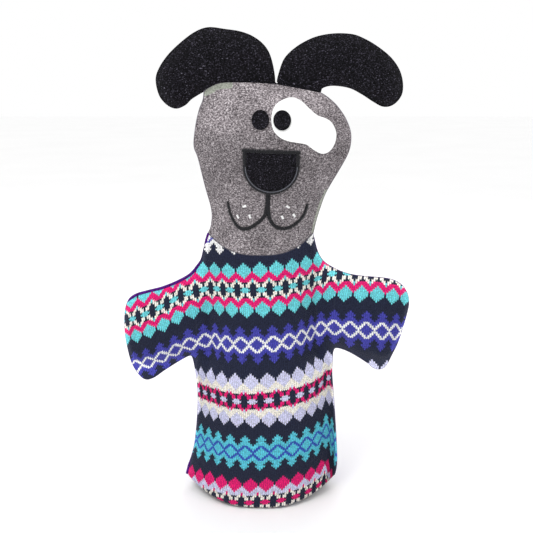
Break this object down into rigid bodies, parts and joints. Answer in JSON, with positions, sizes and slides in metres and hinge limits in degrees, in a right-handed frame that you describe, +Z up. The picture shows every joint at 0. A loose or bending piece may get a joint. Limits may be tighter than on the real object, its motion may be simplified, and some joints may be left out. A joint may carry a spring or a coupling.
{
  "type": "glove puppet of a dog",
  "caption": "Hand puppet of a dog sewn from felted knitwear: open body, two paws, a head with felt face and two stuffed ears, hinged at neck, shoulders and ears.",
  "frame": {"origin": "centre of the hem opening that the hand goes in through, at the level of the hem's lowest points", "axes": "+Z up through the neck to the ears, -Y the way the face looks, +X towards the viewer's right"},
  "size_m": [0.198, 0.078, 0.3241],
  "materials": {
    "patterned_knit": "matte felted stranded knit in navy, turquoise, pink, cream, lavender and violet",
    "purple_knit": "matte felted plain knit",
    "grey_felt": "matte marled felted wool",
    "grey_green_felt": "matte felted wool",
    "white_felt": "matte felt",
    "black_felt": "matte fleecy felt",
    "dark_thread": "satin embroidery thread",
    "white_thread": "satin embroidery thread",
    "wadding": "loose polyester fibre"
  },
  "bodies": {
    "body": {"body_front": "patterned_knit", "body_back": "purple_knit", "hem_turn_up_front": "patterned_knit", "hem_turn_up_back": "purple_knit", "hem_stitching": "dark_thread", "left_side_seam": "purple_knit", "right_side_seam": "purple_knit", "neck_seam": "dark_thread"},
    "head": {"head_front": "grey_felt", "head_back": "grey_green_felt", "head_seam": "grey_green_felt", "eye_patch": "white_felt", "left_eye": "black_felt", "right_eye": "black_felt", "nose": "black_felt", "nose_stitching": "dark_thread", "mouth_stitching": "dark_thread", "whisker_stitches": "white_thread"},
    "left_arm": {"left_arm_front": "patterned_knit", "left_arm_back": "purple_knit", "left_arm_seam": "purple_knit"},
    "right_arm": {"right_arm_front": "patterned_knit", "right_arm_back": "purple_knit", "right_arm_seam": "purple_knit"},
    "left_ear": {"left_ear_front": "black_felt", "left_ear_back": "black_felt", "left_ear_filling": "wadding", "left_ear_seam": "black_felt"},
    "right_ear": {"right_ear_front": "black_felt", "right_ear_back": "black_felt", "right_ear_filling": "wadding", "right_ear_seam": "black_felt"}
  },
  "joints": [
    {"name": "head_nod", "type": "hinge", "parent": "body", "child": "head", "pos_m": [-0.002, 0, 0.182], "axis": [1, 0, 0], "range_deg": [-30, 35], "stiffness_Nm_per_rad": 0.12},
    {"name": "left_arm_swing", "type": "hinge", "parent": "body", "child": "left_arm", "pos_m": [-0.042, 0, 0.132], "axis": [0, 0, 1], "range_deg": [-15, 60], "stiffness_Nm_per_rad": 0.02},
    {"name": "right_arm_swing", "type": "hinge", "parent": "body", "child": "right_arm", "pos_m": [0.042, 0, 0.132], "axis": [0, 0, -1], "range_deg": [-15, 60], "stiffness_Nm_per_rad": 0.02},
    {"name": "left_ear_flop", "type": "hinge", "parent": "head", "child": "left_ear", "pos_m": [-0.009, 0, 0.28915], "axis": [1, 0, 0], "range_deg": [-30, 60], "stiffness_Nm_per_rad": 0.02},
    {"name": "right_ear_flop", "type": "hinge", "parent": "head", "child": "right_ear", "pos_m": [0.021, 0, 0.28915], "axis": [1, 0, 0], "range_deg": [-30, 60], "stiffness_Nm_per_rad": 0.02}
  ]
}
